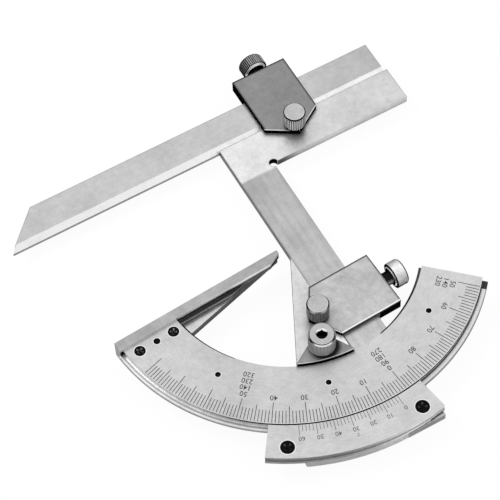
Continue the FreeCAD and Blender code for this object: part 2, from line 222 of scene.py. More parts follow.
def steel(name, top, side, bevel=None, grain=0.0, stretch=60.0, rough=0.36, edge=None, rim=0.18,
          clouds=0.5, lines=0.3, bump=0.05, ring=False, tint=0.6, toward=None, inner=None,
          patch=None, wall_patch=None, drift=None, edge_above=None, gain=6.0):
    """Ground or satin steel, painted with shade and highlight by the way it faces, with fine lines and
    clouds.

    top is the level of what faces up or down, or None where the walls' colour goes all round,
    and bevel the level of what slants. side is one level for all the walls, or stops of
    (share, level) of painted shade and highlight along the direction toward; inner is the
    painted shade of the walls that face the axis of the arc. patch(t, colour) and
    wall_patch(t, colour) may change the colour of part of the surface. edge holds the painted
    levels of the edges away from and towards the light, rim their width in millimetres, gain
    their strength, and edge_above the height from which they show. grain is the direction of
    the fine lines, which run round the arc where ring is set.
    drift makes the surface lighter along a direction, by its length for each metre.
    """
    t = Tree(name)
    if ring:
        x, y, _ = place_of(t)
        around = t.add("ShaderNodeCombineXYZ")
        t.link(t.math("MULTIPLY", t.length(x, y), stretch * 40), around.inputs[0])
        t.link(t.math("MULTIPLY", t.math("ARCTAN2", y, x), 14.0), around.inputs[1])
        fine = t.noise(around.outputs[0], 1.0, 4.0, 0.7)
    else:
        fine = t.noise(t.mapped(grain, (1, stretch, 1)), 90.0, 4.0, 0.7)
    if toward is None:
        walls = grey(side)
    else:
        facing_it = t.dot(t.coords.outputs["Normal"], toward)
        share = t.math("MULTIPLY", t.math("ADD", facing_it, 1.0), 0.5)
        walls = t.ramp(share, [(position, grey(value)) for position, value in side])
    if inner is not None:
        outward = t.dot(t.coords.outputs["Normal"], t.coords.outputs["Object"])
        faces_axis = t.math("LESS_THAN", outward, -0.02)
        walls = t.mix(faces_axis, walls, grey(inner))
    if wall_patch is not None:
        walls = wall_patch(t, walls)
    facing = t.upright()
    if top is None:
        flat = walls
    elif bevel is None:
        flat = grey(top)
    else:
        flat = t.ramp(facing, [(0.0, grey(bevel)), (0.88, grey(bevel)), (0.97, grey(top))])
    is_wall = t.ramp(facing, [(0.30, (1, 1, 1, 1)), (0.45, (0, 0, 0, 1))])
    if patch is not None:
        flat = patch(t, flat)
    colour = t.mix(is_wall, flat, walls)
    if edge is not None:
        near, lit = t.edges(rim * MM, gain)
        if edge_above is not None:
            near = t.math("MULTIPLY", near, height_share(t, edge_above, 20.0))
        colour = t.mix(near, colour, t.mix(lit, grey(edge[0]), grey(edge[1])))
    speck = t.noise(t.coords.outputs["Object"], 1500.0, 2.0, 0.5)
    shade = 1.0
    if drift is not None:
        shade = t.math("ADD", t.dot(t.coords.outputs["Object"], drift), 1.0)
    for noise, amount in (
        (t.noise(t.coords.outputs["Object"], 75.0, 3.0, 0.55), clouds),
        (t.noise(t.coords.outputs["Object"], 420.0, 3.0, 0.6), clouds * 0.8),
        (fine, lines),
        (speck, 0.22),
    ):
        shade = t.math("ADD", t.math("MULTIPLY", t.math("SUBTRACT", noise, 0.5), amount), shade)
    colour = t.mix(1.0, colour, shade, "MULTIPLY")
    t.link(colour, t.shader.inputs["Base Color"])
    t.shader.inputs["Metallic"].default_value = 1.0
    t.shader.inputs["Specular Tint"].default_value = (tint, tint, tint, 1)
    roughness = t.math("ADD", rough - 0.07, t.math("MULTIPLY", fine, 0.14))
    t.link(roughness, t.shader.inputs["Roughness"])
    relief = t.add("ShaderNodeBump")
    relief.inputs["Strength"].default_value = bump
    relief.inputs["Distance"].default_value = 0.00005
    t.link(t.math("ADD", fine, t.math("MULTIPLY", speck, 0.5)), relief.inputs["Height"])
    t.link(relief.outputs[0], t.shader.inputs["Normal"])
    return t.material


def ink(name, value, rough=0.6, shine=0.05):
    """Blackened metal or the fill of the engraved lines."""
    t = Tree(name)
    noise = t.noise(t.coords.outputs["Object"], 900.0, 3.0, 0.6)
    low, high = level(value * 0.8), level(value * 1.25)
    colour = t.ramp(noise, [(0.3, (low, low, low, 1)), (0.7, (high, high, high, 1))])
    t.link(colour, t.shader.inputs["Base Color"])
    t.shader.inputs["Metallic"].default_value = 0.0
    t.shader.inputs["Specular IOR Level"].default_value = shine
    t.link(t.math("ADD", rough - 0.1, t.math("MULTIPLY", noise, 0.2)), t.shader.inputs["Roughness"])
    return t.material


def square_tone_and_shade(t, colour):
    """The long arm is light. The other is darker, with streaks along it, and a painted shade line in its
    corner beside the plate.
    """
    u, v, _ = place_of(t, -READING)
    above = t.math("SUBTRACT", v, ARM_LINE * MM)
    share = t.math("ADD", t.math("MULTIPLY", above, 900.0), 0.5, clamp=True)
    right = t.math("MULTIPLY", u, 22.0, clamp=True)
    light = t.mix(right, grey(232), grey(214))
    down = t.math("MULTIPLY", t.math("SUBTRACT", ARM_LINE * MM, v), 9.5, clamp=True)
    dull = t.mix(down, grey(178), grey(202))
    streak = t.noise(t.mapped(-READING, (1, 0.06, 1)), 420.0, 3.0, 0.6)
    dull = t.mix(1.0, dull, t.math("ADD", 0.72, t.math("MULTIPLY", streak, 0.56)), "MULTIPLY")
    # Painted shade along the arm's edge beside the plate
    beside_plate = t.math("LESS_THAN", u, 0.35 * MM)
    low = t.math("LESS_THAN", v, -31 * MM)
    dull = t.mix(t.math("MULTIPLY", beside_plate, low), dull, grey(84))
    return t.mix(share, dull, light)


def square_walls(t, colour):
    """Painted shade: the long arm's lower wall darkens downwards and towards the relief, whose wall is
    painted dark.
    """
    u, v, height = place_of(t, -READING)
    below = t.math("MULTIPLY", t.math("GREATER_THAN", u, 15.7 * MM), t.math("LESS_THAN", v, 34.2 * MM))
    lower = graded(t, u, 15.0, 35.0, [(0.0, 72), (0.2, 120), (0.5, 200), (1.0, 218)])
    colour = t.mix(below, colour, lower)
    fall = t.math("ADD", 0.7, t.math("MULTIPLY", height, 0.14 / MM))
    colour = t.mix(below, colour, t.mix(1.0, colour, fall, "MULTIPLY"))
    du = t.math("SUBTRACT", u, 14.2 * MM)
    dv = t.math("SUBTRACT", v, 34.1 * MM)
    return t.mix(t.math("LESS_THAN", t.length(du, dv), 1.65 * MM), colour, grey(26))


def vernier_walls(t, colour):
    """Painted light: the outer wall grows lighter towards the zero of the vernier."""
    return graded(t, place_of(t, -READING)[0], -24.0, 2.0, [(0.0, 146), (0.45, 184), (1.0, 255)])


def clamp_b_walls(t, colour):
    """The end of the clamp past the square is open below its plate, and painted dark there as shade."""
    u, _, height = place_of(t, -READING)
    past = t.math("GREATER_THAN", u, 15.0 * MM)
    below = t.math("LESS_THAN", height, 4.1 * MM)
    return t.mix(t.math("MULTIPLY", past, below), colour, grey(34))


def base_shade_and_tone(t, colour):
    """Painted shade: the rib's top, below the strip, is dark. The web is lighter."""
    rib = t.mix(height_share(t, 4.0, 5.5), colour, grey(86))
    return t.mix(height_share(t, 2.0, 4.0), rib, grey(212))


def base_walls(t, colour):
    """The inner wall is lined. It is painted light, as highlight, where it stands over the arc, and
    painted dark, as shade, beside the rail.
    """
    x, y, _ = place_of(t)
    line = t.noise(t.mapped(0.0, (0.04, 1, 6)), 420.0, 3.0, 0.6)
    lined = t.mix(1.0, colour, t.math("ADD", 0.3, t.math("MULTIPLY", line, 1.4)), "MULTIPLY")
    left = t.math("LESS_THAN", x, -65.5 * MM)
    behind = t.math("LESS_THAN", y, -3.3 * MM)
    lined = t.mix(t.math("MULTIPLY", left, behind), lined, grey(22))
    return t.mix(height_share(t, SCALE_TOP, 8.5), lined, grey(250))


def scale_painted_light(t, colour):
    """Painted light: the ledge's ends and the rail's right end are painted dark as shade, and the rail
    carries painted bands of highlight and shade along it.
    """
    x, y, _ = place_of(t)
    radius = t.length(x, y)
    right = t.math("GREATER_THAN", x, 8 * MM)
    left = t.math("LESS_THAN", x, -38 * MM)
    ledge = t.math("MULTIPLY", height_share(t, 4.6, 5.2), t.math("MAXIMUM", right, left))
    colour = t.mix(ledge, colour, graded(t, x, 19.0, 30.0, [(0.0, 28), (0.5, 34), (1.0, 70)]))
    # Painted bands of highlight and shade across the rail, lit on the left and dim on the right
    lit = graded(t, radius, 68.0, 70.0, [(0.0, 255), (0.2, 238), (0.32, 166), (0.5, 176), (0.64, 236),
                                         (0.84, 230), (0.97, 176)])
    dim = graded(t, radius, 68.0, 70.0, [(0.0, 60), (0.14, 84), (0.3, 206), (0.5, 226), (0.7, 224),
                                         (0.84, 206), (0.95, 116)])
    rail = height_share(t, 3.9, 4.4)
    colour = t.mix(rail, colour, t.mix(t.math("GREATER_THAN", x, 0.0), lit, dim))
    along = t.math("ADD", t.math("MULTIPLY", x, 0.7242), t.math("MULTIPLY", y, 0.6896))
    end = t.math("MULTIPLY", rail, t.math("GREATER_THAN", along, -0.6 * MM))
    return t.mix(end, colour, grey(58))


def scale_walls(t, colour):
    """The scale's outer wall is painted light, with a painted shade line below its edge nearer
    the vernier.

    The rail's wall is painted darker, as shade, and the outer part of the recess below is
    darker too.
    """
    x, y, _ = place_of(t)
    radius = t.length(x, y)
    outer = t.math("GREATER_THAN", radius, 67.0 * MM)
    dark = graded(t, x, -58.0, -48.0, [(0.0, 225), (1.0, 60)])
    colour = t.mix(outer, colour, t.mix(height_share(t, 5.5, 6.4), grey(225), dark))
    outside = t.math("GREATER_THAN", radius, 69.5 * MM)
    colour = t.mix(outside, colour, grey(176))
    recess = t.math("MULTIPLY", t.math("SUBTRACT", 1.0, outer), height_share(t, -1.0, 3.8))
    beyond = t.math("GREATER_THAN", radius, 52.0 * MM)
    return t.mix(t.math("MULTIPLY", recess, beyond), colour, grey(130))


def shoe_painted_shadow(t, colour):
    """The shoe is painted with a dark shadow round the head of the brake screw, and is lighter towards
    its left.
    """
    x, y, _ = place_of(t)
    at_x, at_y = polar(BRAKE_CIRCLE, BRAKE_ANGLE - READING - 90)
    dx = t.math("SUBTRACT", x, (at_x + 0.4) * MM)
    dy = t.math("SUBTRACT", y, (at_y - 0.8) * MM)
    far = t.math("MULTIPLY", t.math("SUBTRACT", t.length(dx, dy), 4.7 * MM), 620.0, clamp=True)
    left = t.math("MULTIPLY", t.math("ADD", x, 14 * MM), 60.0, clamp=True)
    plain = t.mix(left, grey(158), colour)
    return t.mix(far, grey(36), plain)


def guide_walls(t, colour):
    """Painted light: lighter towards the zero of the vernier, with a band of painted dark shade low at
    its right end.
    """
    u = place_of(t, -READING)[0]
    wall = graded(t, u, -24.0, 2.0, [(0.0, 158), (0.45, 190), (1.0, 255)])
    gap = t.math("MULTIPLY", t.math("GREATER_THAN", u, 8.8 * MM), height_share(t, 2.9, 3.9))
    return t.mix(gap, wall, grey(12))


def ruler_end_darkening(t, colour):
    """The ruler's flat face is a little darker towards its ends."""
    along = place_of(t, -READING)[0]
    shade = graded(t, along, -80.0, 60.0, [(0.0, 241), (0.4, 255), (0.7, 255), (1.0, 246)])
    flat = t.math("GREATER_THAN", t.upright(), 0.98)
    return t.mix(flat, colour, t.mix(1.0, colour, shade, "MULTIPLY"))


def plate_painted_highlight(t, colour):
    """A painted highlight shows between the brake shoe and the square, on the upper face."""
    u, v, _ = place_of(t, -READING)
    beside = t.math("MULTIPLY", t.math("GREATER_THAN", u, -4.5 * MM), height_share(t, 2.0, 4.0))
    low = t.math("LESS_THAN", v, -34.2 * MM)
    high = t.math("GREATER_THAN", v, -42.4 * MM)
    return t.mix(t.math("MULTIPLY", beside, t.math("MULTIPLY", low, high)), colour, grey(250))


def plate_walls(t, colour):
    """Painted light: the outer wall of the plate is lighter than its slanting sides."""
    u, v, _ = place_of(t, -READING)
    outer = graded(t, u, -30.0, 0.0, [(0.0, 172), (1.0, 205)])
    return t.mix(t.math("LESS_THAN", v, -66 * MM), colour, outer)


# Directions that the stops of painted shade run along
from_front = (-0.45, -0.89, 0.0)
along_u = (0.998, -0.061, 0.0)
along_low = (-0.054, -0.887, -0.458)

scale_steel = steel("satin_scale", 200, 240, bevel=225, ring=True, stretch=45, rough=0.42, inner=22,
                    tint=0.3, patch=scale_painted_light, wall_patch=scale_walls, edge=(190, 255), rim=0.35,
                    edge_above=5.5, drift=(1.6, 0, 0), clouds=0.32)
vernier_steel = steel("satin_vernier", 202, 190, ring=True, stretch=45, rough=0.42, tint=0.3,
                      wall_patch=vernier_walls, edge=(180, 186), rim=0.2, drift=(1.2, 0, 0),
                      clouds=0.32)
guide_steel = steel("guide_steel", 180, 190, ring=True, rough=0.4, tint=0.3, wall_patch=guide_walls)
base_steel = steel("base_ruler_steel", 172, [(0.35, 118), (0.75, 128), (1.0, 240)],
                   toward=(-1.0, 0.3, 0.0), grain=0.0, rough=0.34, patch=base_shade_and_tone,
                   wall_patch=base_walls, clouds=0.6, tint=0.15, edge=(140, 210), rim=0.3)
plate_steel = steel("sector_plate_steel", 216, [(0.5, 205), (0.9, 60)], toward=(-1.0, 0.0, 0.0),
                    grain=60.0, rough=0.4, clouds=0.6, edge=(90, 230), rim=0.5, tint=0.4,
                    patch=plate_painted_highlight, wall_patch=plate_walls)
# Its walls facing the ruler are painted near white, a painted highlight that the ruler's bevel reflects.
square_steel = steel("square_steel", 200, [(0.9, 172), (0.97, 255)], toward=(0.061, 0.998, 0.0),
                     grain=-93.5, rough=0.36, patch=square_tone_and_shade, wall_patch=square_walls, tint=0.2,
                     edge=(140, 200), rim=0.5, gain=9.0, clouds=0.42)
ruler_steel = steel("ruler_steel", 200, 148, bevel=255, grain=-3.5, rough=0.33, tint=0.45,
                    patch=ruler_end_darkening, edge=(140, 255), rim=0.5, gain=9.0, edge_above=2.4,
                    clouds=0.4)
clamp_a_steel = steel("ruler_clamp_steel", 144, [(0.45, 52), (0.8, 14)], toward=(-1.0, 0.0, 0.0),
                      grain=40.0, rough=0.4, edge=(40, 215), rim=1.3, gain=18.0,
                      edge_above=4.85, tint=0.05)
clamp_b_steel = steel("sector_clamp_steel", 186, [(0.45, 120), (0.8, 20)], toward=(-1.0, 0.0, 0.0),
                      grain=-50.0, rough=0.4, edge=(44, 255), rim=1.3, gain=18.0,
                      edge_above=4.85, clouds=0.8, tint=0.1, wall_patch=clamp_b_walls)
shoe_steel = steel("brake_shoe_steel", 132, 14, grain=10.0, rough=0.38, edge=(110, 235), rim=0.8,
                   tint=0.05, patch=shoe_painted_shadow)
knob_steel = steel("knob_steel", 190, 165, bevel=235, rough=0.3, bump=0.02, clouds=0.5, tint=0.3)
# The knob steels below are painted with shade and highlight by the way they face. Their soft, brake,
# dark and bright versions are differently lit copies of one knurled steel.
chamfer_soft = steel("soft_chamfer_steel", None, [(0.3, 40), (0.66, 66), (0.76, 150), (0.85, 205)],
                     toward=from_front, rough=0.4, tint=0.15)
knurl_steel = steel("knurl_steel", 200, [(0.3, 60), (0.6, 130), (0.85, 225)], toward=from_front,
                    rough=0.6, bump=0.02, tint=0.2)
knurl_soft = steel("soft_knurl_steel", 140, [(0.3, 50), (0.6, 105), (0.9, 185)], toward=from_front,
                   rough=0.6, bump=0.02, tint=0.1)
knurl_brake = steel("brake_knurl_steel", 140, [(0.3, 50), (0.6, 140), (0.9, 225)], toward=from_front,
                    rough=0.55, bump=0.02, tint=0.2)
knurl_dark = steel("dark_knurl_steel", None, [(0.1, 66), (0.35, 120), (0.55, 190), (0.68, 150),
                                             (0.74, 222), (0.92, 205), (1.0, 120)],
                   toward=along_u, rough=0.6, bump=0.02, tint=0.2)
knurl_bright = steel("bright_knurl_steel", None,
                     [(0.0, 110), (0.07, 205), (0.2, 240), (0.38, 245), (0.47, 205), (0.6, 236),
                      (0.84, 245), (0.9, 100), (1.0, 40)],
                     toward=along_low, rough=0.6, bump=0.02, tint=0.5)
groove_steel = steel("knurl_groove_steel", None, [(0.1, 26), (0.5, 46), (0.68, 50), (0.74, 212),
                                                  (0.92, 195), (1.0, 110)],
                     toward=along_u, rough=0.6, tint=0.05)
groove_soft = steel("soft_groove_steel", 110, [(0.3, 44), (0.6, 90), (0.9, 160)], toward=from_front,
                    rough=0.6, tint=0.1)
groove_brake = steel("brake_groove_steel", 110, [(0.3, 36), (0.6, 100), (0.9, 172)], toward=from_front,
                     rough=0.6, tint=0.1)
groove_plain = steel("plain_groove_steel", 60, 60, rough=0.6, tint=0.05)
groove_bright = steel("bright_groove_steel", None,
                      [(0.0, 100), (0.07, 195), (0.2, 230), (0.38, 235), (0.47, 192), (0.6, 224),
                       (0.84, 232), (0.9, 90), (1.0, 36)],
                      toward=along_low, rough=0.6, tint=0.3)
# Painted shade and painted highlight for the bands of the knobs' chamfers, rims and ends
ring_dark = steel("dark_ring_steel", 48, 52, rough=0.4, tint=0.05)
ring_bright = steel("bright_ring_steel", 248, 248, rough=0.5, tint=0.5, clouds=0.1)
# Painted shade in the knobs' recesses, round their bases and under their chamfers
knob_dark = steel("knob_inner_steel", 40, 16, rough=0.4, tint=0.03)
# Dark, with a painted highlight line, for the necks and collars of the side screws
neck_steel = steel("neck_steel", None, [(0.8, 26), (0.9, 150), (0.97, 40)], toward=from_front, rough=0.4,
                   tint=0.1)
# Painted highlight and shade crescents on the chamfer of the brake knob
crescent_steel = steel("crescent_chamfer_steel", None,
                       [(0.15, 190), (0.5, 170), (0.62, 60), (0.7, 30), (0.76, 130), (0.81, 255)],
                       toward=from_front, rough=0.5, tint=0.4, clouds=0.1)
# Painted highlight on the walls of the screws' cross recesses, dimmer on the vernier's screws
recess_steel = steel("recess_steel", 150, 150, rough=0.4, tint=0.3)
recess_dim = steel("dim_recess_steel", 84, 84, rough=0.4, tint=0.2)
inner_steel = steel("mechanism_steel", 150, 110, rough=0.4)
black = ink("blackened_steel", 12, shine=0.02)
line_fill = ink("engraved_line_fill", 50)
numeral_fill = ink("engraved_numeral_fill", 64)
vernier_fill = ink("vernier_line_fill", 92)
# A painted white highlight on the far side of the brake knob's socket mouth
socket_highlight = ink("socket_chamfer", 250, rough=0.4, shine=0.6)
# Bright rings round the bores, a painted highlight of their countersinks
rim_steel = steel("countersink_rim_steel", 238, 200, rough=0.3, clouds=0.1)


def dress(node, material):
    """Gives a CAD node its finished material."""
    for slot in nodes[node].material_slots:
        slot.material = material


for node, material in {
    "graduated_arc": scale_steel,
    "vernier_plate": vernier_steel,
    "vernier_guide": guide_steel,
    "base_ruler": base_steel,
    "sector_plate": plate_steel,
    "square": square_steel,
    "straight_ruler": ruler_steel,
    "ruler_clamp": clamp_a_steel,
    "sector_clamp": clamp_b_steel,
    "brake_shoe": shoe_steel,
    "toothed_arc": inner_steel,
    "pinion_shaft": inner_steel,
    "toothed_arc_pins": black,
    "base_ruler_dowel": black,
    "guide_screws": black,
}.items():
    dress(node, material)


# ------------------------------------------------------------------ pieces

def piece(name, mesh, body, materials, place=Matrix.Identity(4)):
    """A new object of the scene, in metres, that rides on a body."""
    obj = bpy.data.objects.new(name, mesh)
    scene.collection.objects.link(obj)
    mesh.transform(place)
    for material in materials:
        mesh.materials.append(material)
    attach(obj, body)
    return obj


def mesh_of(name, vertices, faces, indices=None):
    """A mesh from points in millimetres, with a material index for each face."""
    mesh = bpy.data.meshes.new(name)
    mesh.from_pydata([(x * MM, y * MM, z * MM) for x, y, z in vertices], [], faces)
    if indices:
        mesh.polygons.foreach_set("material_index", indices)
    mesh.validate()
    mesh.update()
    return mesh


def circle(x, y, radius, z, count):
    """Points of a level circle."""
    angles = [2 * math.pi * i / count for i in range(count)]
    return [(x + radius * math.cos(a), y + radius * math.sin(a), z) for a in angles]


def band(low, high, count):
    """Quads between two loops, given by the indices of their first points."""
    pairs = [(i, (i + 1) % count) for i in range(count)]
    return [[low + i, low + j, high + j, high + i] for i, j in pairs]


def tick(lists, inner, outer, angle, width):
    """Adds one engraved line along a radius to the lists of vertices and faces."""
    vertices, faces = lists
    c, s = polar(1.0, angle)
    first = len(vertices)
    for z in (SCALE_TOP - 0.02, SCALE_TOP + LINE_RISE):
        for r, w in ((inner, -width), (outer, -width), (outer, width), (inner, width)):
            vertices.append((r * c - w / 2 * s, r * s + w / 2 * c, z))
    for quad in ((4, 5, 6, 7), (0, 1, 5, 4), (1, 2, 6, 5), (2, 3, 7, 6), (3, 0, 4, 7)):
        faces.append([first + i for i in quad])


main_lines = ([], [])
for division in range(0, 121):
    if division % 10 == 0:
        inner = 0.886 * SCALE_OUTER
    elif division % 5 == 0:
        inner = 0.905 * SCALE_OUTER
    else:
        inner = 0.930 * SCALE_OUTER
    tick(main_lines, inner, 0.996 * SCALE_OUTER, ZERO_AT - 80 + division, 0.23)
piece("degree_lines", mesh_of("degree_lines", *main_lines), "base", [line_fill])

vernier_lines = ([], [])
for division in range(0, 31):
    outer = 72.3 if division % 5 == 0 else 70.9
    tick(vernier_lines, 68.6, outer, VERNIER_ZERO - 29 / 30 * division - 90, 0.2)
piece("vernier_lines", mesh_of("vernier_lines", *vernier_lines), "sector", [vernier_fill],
      sector_turn)


def numeral(text, height, radius, angle):
    """Mesh of plain figures, their tops pointing away from the vertex."""
    curve = bpy.data.curves.new("figures", "FONT")
    curve.body = text
    curve.size = height * MM / 0.70
    curve.align_x = "CENTER"
    curve.align_y = "CENTER"
    curve.extrude = LINE_RISE * MM
    curve.resolution_u = 3
    curve.offset = 0.018 * MM
    obj = bpy.data.objects.new("figures", curve)
    mesh = bpy.data.meshes.new_from_object(obj)
    place = moved(*polar(radius, angle), SCALE_TOP)
    mesh.transform(place @ Matrix.Rotation(math.radians(angle - 90), 4, "Z"))
    bpy.data.objects.remove(obj)
    bpy.data.curves.remove(curve)
    return mesh


def joined(name, meshes):
    """One mesh from several."""
    total = bmesh.new()
    for mesh in meshes:
        total.from_mesh(mesh)
        bpy.data.meshes.remove(mesh)
    result = bpy.data.meshes.new(name)
    total.to_mesh(result)
    total.free()
    return result


# Figures of the scale's rows, from the outer row in, by the division that they stand at
LABELS = {
    30: ("50", "140", "230", "320"), 40: ("40",), 50: ("30",), 60: ("20",), 70: ("10",),
    80: ("0", "90", "180", "270"), 90: ("80",), 100: ("70",), 110: ("60",),
    120: ("50", "140", "230"),
}
figures = []
for division, lines in LABELS.items():
    for row, text in enumerate(lines):
        shift = -1.2 if division == 120 else 0.0
        figures.append(numeral(text, 1.85, 58.45 - 2.45 * row, ZERO_AT - 80 + division + shift))
piece("degree_figures", joined("degree_figures", figures), "base", [numeral_fill])

figures = []
for i in range(7):
    figures.append(numeral(str(10 * i), 1.6, 73.6, VERNIER_ZERO - 29 / 6 * i - 90 + 0.1 * i))
figures.append(numeral("2'", 1.1, 75.9, VERNIER_ZERO - 14.5 - 90 + 0.3))
piece("vernier_figures", joined("vernier_figures", figures), "sector", [vernier_fill],
      sector_turn)


# Material indices that all knobs share
FACE, INSIDE, KNURL, GROOVE = range(4)


def knurled(name, rows, teeth, depth):
    """Turned knob. Rows are (radius, height, knurled, material index of the band above)."""
    per = 4
    count = teeth * per
    vertices, faces, indices = [], [], []
    for radius, height, cut, index in rows:
        for i in range(count):
            a = 2 * math.pi * i / count
            low = cut and i % per == 0
            half = cut and i % per in (1, 3)
            r = radius - (depth if low else depth * 0.25 if half else 0)
            vertices.append((r * math.cos(a), r * math.sin(a), height))
    for k in range(len(rows) - 1):
        faces += band(k * count, (k + 1) * count, count)
        for i in range(count):
            groove = rows[k][2] and rows[k + 1][2] and i % per in (0, 3)
            indices.append(GROOVE if groove else rows[k][3])
    faces.append(list(range(count - 1, -1, -1)))
    indices.append(rows[0][3])
    last = (len(rows) - 1) * count
    faces.append([last + i for i in range(count)])
    indices.append(rows[-1][3])
    return mesh_of(name, vertices, faces, indices)


ruler_clamp_place = sector_turn @ moved(28.3, 61.45)
sector_clamp_place = sector_turn @ moved(14.3, -27.8) @ Matrix.Rotation(math.radians(-90), 4, "Z")


def face_screw(name, place, body, node, teeth, flat, chamfer, knurl, groove, ring):
    """Knurled face screw of a clamp. flat is the radius of its end face. Its bands carry painted
    light: a bright rim of painted highlight round the end face, the chamfer painted as shade,
    with a dark band of painted shade between it and the knurl, and painted shade round the base.
    """
    edge, bright = 4, 5
    top = CLAMP_TOP + 7.7
    rows = [
        (1.75, 0.4, False, INSIDE), (1.75, CLAMP_TOP, False, INSIDE),
        (3.5, CLAMP_TOP + 0.02, False, INSIDE), (3.5, CLAMP_TOP + 0.45, False, INSIDE),
        (3.85, CLAMP_TOP + 0.5, False, INSIDE), (3.95, CLAMP_TOP + 1.3, True, KNURL),
        (3.95, top - chamfer - 0.3, True, INSIDE), (3.95, top - chamfer, False, edge),
        (flat + 0.12, top - 0.12, False, bright), (flat, top, False, FACE),
    ]
    obj = piece(name, knurled(name, rows, teeth, 0.28), body,
                [knob_steel, knob_dark, knurl, groove, ring, ring_bright],
                place @ moved(0, -CLAMP_SCREW_AT))
    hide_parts(node)


face_screw("knurled_ruler_clamp_face_screw", ruler_clamp_place, "ruler_face_screw",
           "ruler_clamp_face_screw", 32, 3.42, 0.5, knurl_steel, groove_plain, ring_dark)
face_screw("knurled_sector_clamp_face_screw", sector_clamp_place, "sector_face_screw",
           "sector_clamp_face_screw", 42, 3.35, 0.85, knurl_soft, groove_soft, chamfer_soft)


def side_screw(name, place, body, node, teeth, depth, neck, collar, skew, rings, knurl, groove):
    """Knurled side screw of a clamp, turned by skew about the face screw.

    neck is the gap from the clamp to the knob and collar the radius of the collar across it.
    rings are (radius, distance in from the near end) of the end's recess, a cone of painted
    highlight and two bands of painted shade, from the inside out. The far end of the knob is
    painted as shade, and the collar is dark with a painted highlight line.
    """
    bright, dark, collar_band = 4, 5, 6
    start = CLAMP_WALL + neck
    end = start + SIDE_KNOB_LENGTH
    rows = [(1.75, 0.05, False, collar_band), (1.75, CLAMP_WALL + 0.02, False, INSIDE),
            (collar, CLAMP_WALL + 0.04, False, collar_band), (collar, start + 1.3, False, INSIDE)]
    for (radius, inset), index in zip(rings, (INSIDE, bright, dark, dark)):
        rows.append((radius, start + inset, False, index))
    rows += [(4.7, start + 0.55, True, KNURL), (4.7, end - 0.5, True, dark), (4.3, end, False, FACE)]
    pivot = moved(0, -CLAMP_SCREW_AT)
    spin = pivot @ Matrix.Rotation(math.radians(skew), 4, "Z") @ pivot.inverted()
    turn = moved(0, 0, SIDE_SCREW_HEIGHT) @ Matrix.Rotation(math.radians(-90), 4, "X")
    obj = piece(name, knurled(name, rows, teeth, depth), body,
                [knob_steel, knob_dark, knurl, groove, ring_bright, ring_dark, neck_steel],
                place @ spin @ turn)
    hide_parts(node)


side_screw("knurled_ruler_clamp_side_screw", ruler_clamp_place, "ruler_side_screw",
           "ruler_clamp_side_screw", 40, 0.24, 1.5, 1.8, 0.0,
           [(3.2, 1.3), (3.3, 0.0), (4.05, 0.6), (4.5, 0.45)], knurl_dark, groove_steel)
side_screw("knurled_sector_clamp_side_screw", sector_clamp_place, "sector_side_screw",
           "sector_clamp_side_screw", 52, 0.05, 2.8, 2.5, 2.7,
           [(3.0, 1.3), (3.3, 0.0), (3.7, 0.3), (4.6, 0.6)], knurl_bright, groove_bright)


def brake_knob():
    """Knurled brake screw, with a hexagon socket in a cone-shaped mouth. Its bands carry painted
    light: bright rings of painted highlight at its base and below its top face, painted
    crescents on its chamfer, a band of painted shade, and a painted white highlight on the far
    side of the mouth, whose near side is painted as shade.
    """
    dark, crescent, bright, mouth = 4, 5, 6, 7
    top = BRAKE_TOP
    rows = [
        (2.0, 0.3, False, INSIDE), (2.0, 8.25, False, INSIDE), (3.6, 8.26, False, INSIDE),
        (3.6, 8.4, False, INSIDE), (4.4, 8.42, False, bright), (4.66, 8.7, False, bright),
        (4.66, 9.15, False, bright), (4.7, 9.2, True, KNURL), (4.7, top - 0.95, True, crescent),
        (4.64, top - 0.85, False, crescent), (4.25, top - 0.42, False, dark),
        (4.05, top - 0.15, False, bright), (3.95, top, False, FACE),
    ]
    mesh = knurled("knurled_brake_screw", rows, 60, 0.1)
    body = bmesh.new()
    body.from_mesh(mesh)
    bpy.data.meshes.remove(mesh)
    cap = max(body.faces, key=lambda f: f.calc_center_median().z)
    bmesh.ops.delete(body, geom=[cap], context="FACES_ONLY")
    ring = [v for v in body.verts if abs(v.co.z - top * MM) < 1e-6]
    ring.sort(key=lambda v: math.atan2(v.co.y, v.co.x))
    angles = [math.atan2(v.co.y, v.co.x) for v in ring]
    count = len(ring)
    loops = [ring]
    wide, flats, steep, deep = 2.0, 3.1, 1.6, 3.5
    hexagon = [flats / 2 / math.cos(a % math.radians(60) - math.radians(30)) for a in angles]
    for radii, drops in (
        ([wide] * count, [0.0] * count),
        (hexagon, [(wide - r) * steep + 0.02 for r in hexagon]),
        (hexagon, [deep] * count),
    ):
        loops.append([
            body.verts.new((r * math.cos(a) * MM, r * math.sin(a) * MM, (top - drop) * MM))
            for a, r, drop in zip(angles, radii, drops)
        ])
    for k in range(len(loops) - 1):
        for i in range(count):
            j = (i + 1) % count
            face = body.faces.new((loops[k][i], loops[k][j], loops[k + 1][j], loops[k + 1][i]))
            # The far side of the mouth takes the painted white highlight, the near side painted shade.
            far = math.cos(angles[i] - math.radians(63)) > 0.35
            face.material_index = (FACE, mouth if far else dark, INSIDE)[k]
    body.faces.new(loops[-1]).material_index = dark
    bmesh.ops.recalc_face_normals(body, faces=body.faces)
    result = bpy.data.meshes.new("knurled_brake_screw")
    body.to_mesh(result)
    body.free()
    obj = piece("knurled_brake_screw", result, "brake_screw",
                [knob_steel, black, knurl_brake, groove_brake, knob_dark, crescent_steel,
                 ring_bright, socket_highlight],
                sector_turn @ moved(*polar(BRAKE_CIRCLE, BRAKE_ANGLE - 90)))
    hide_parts("brake_screw")


brake_knob()


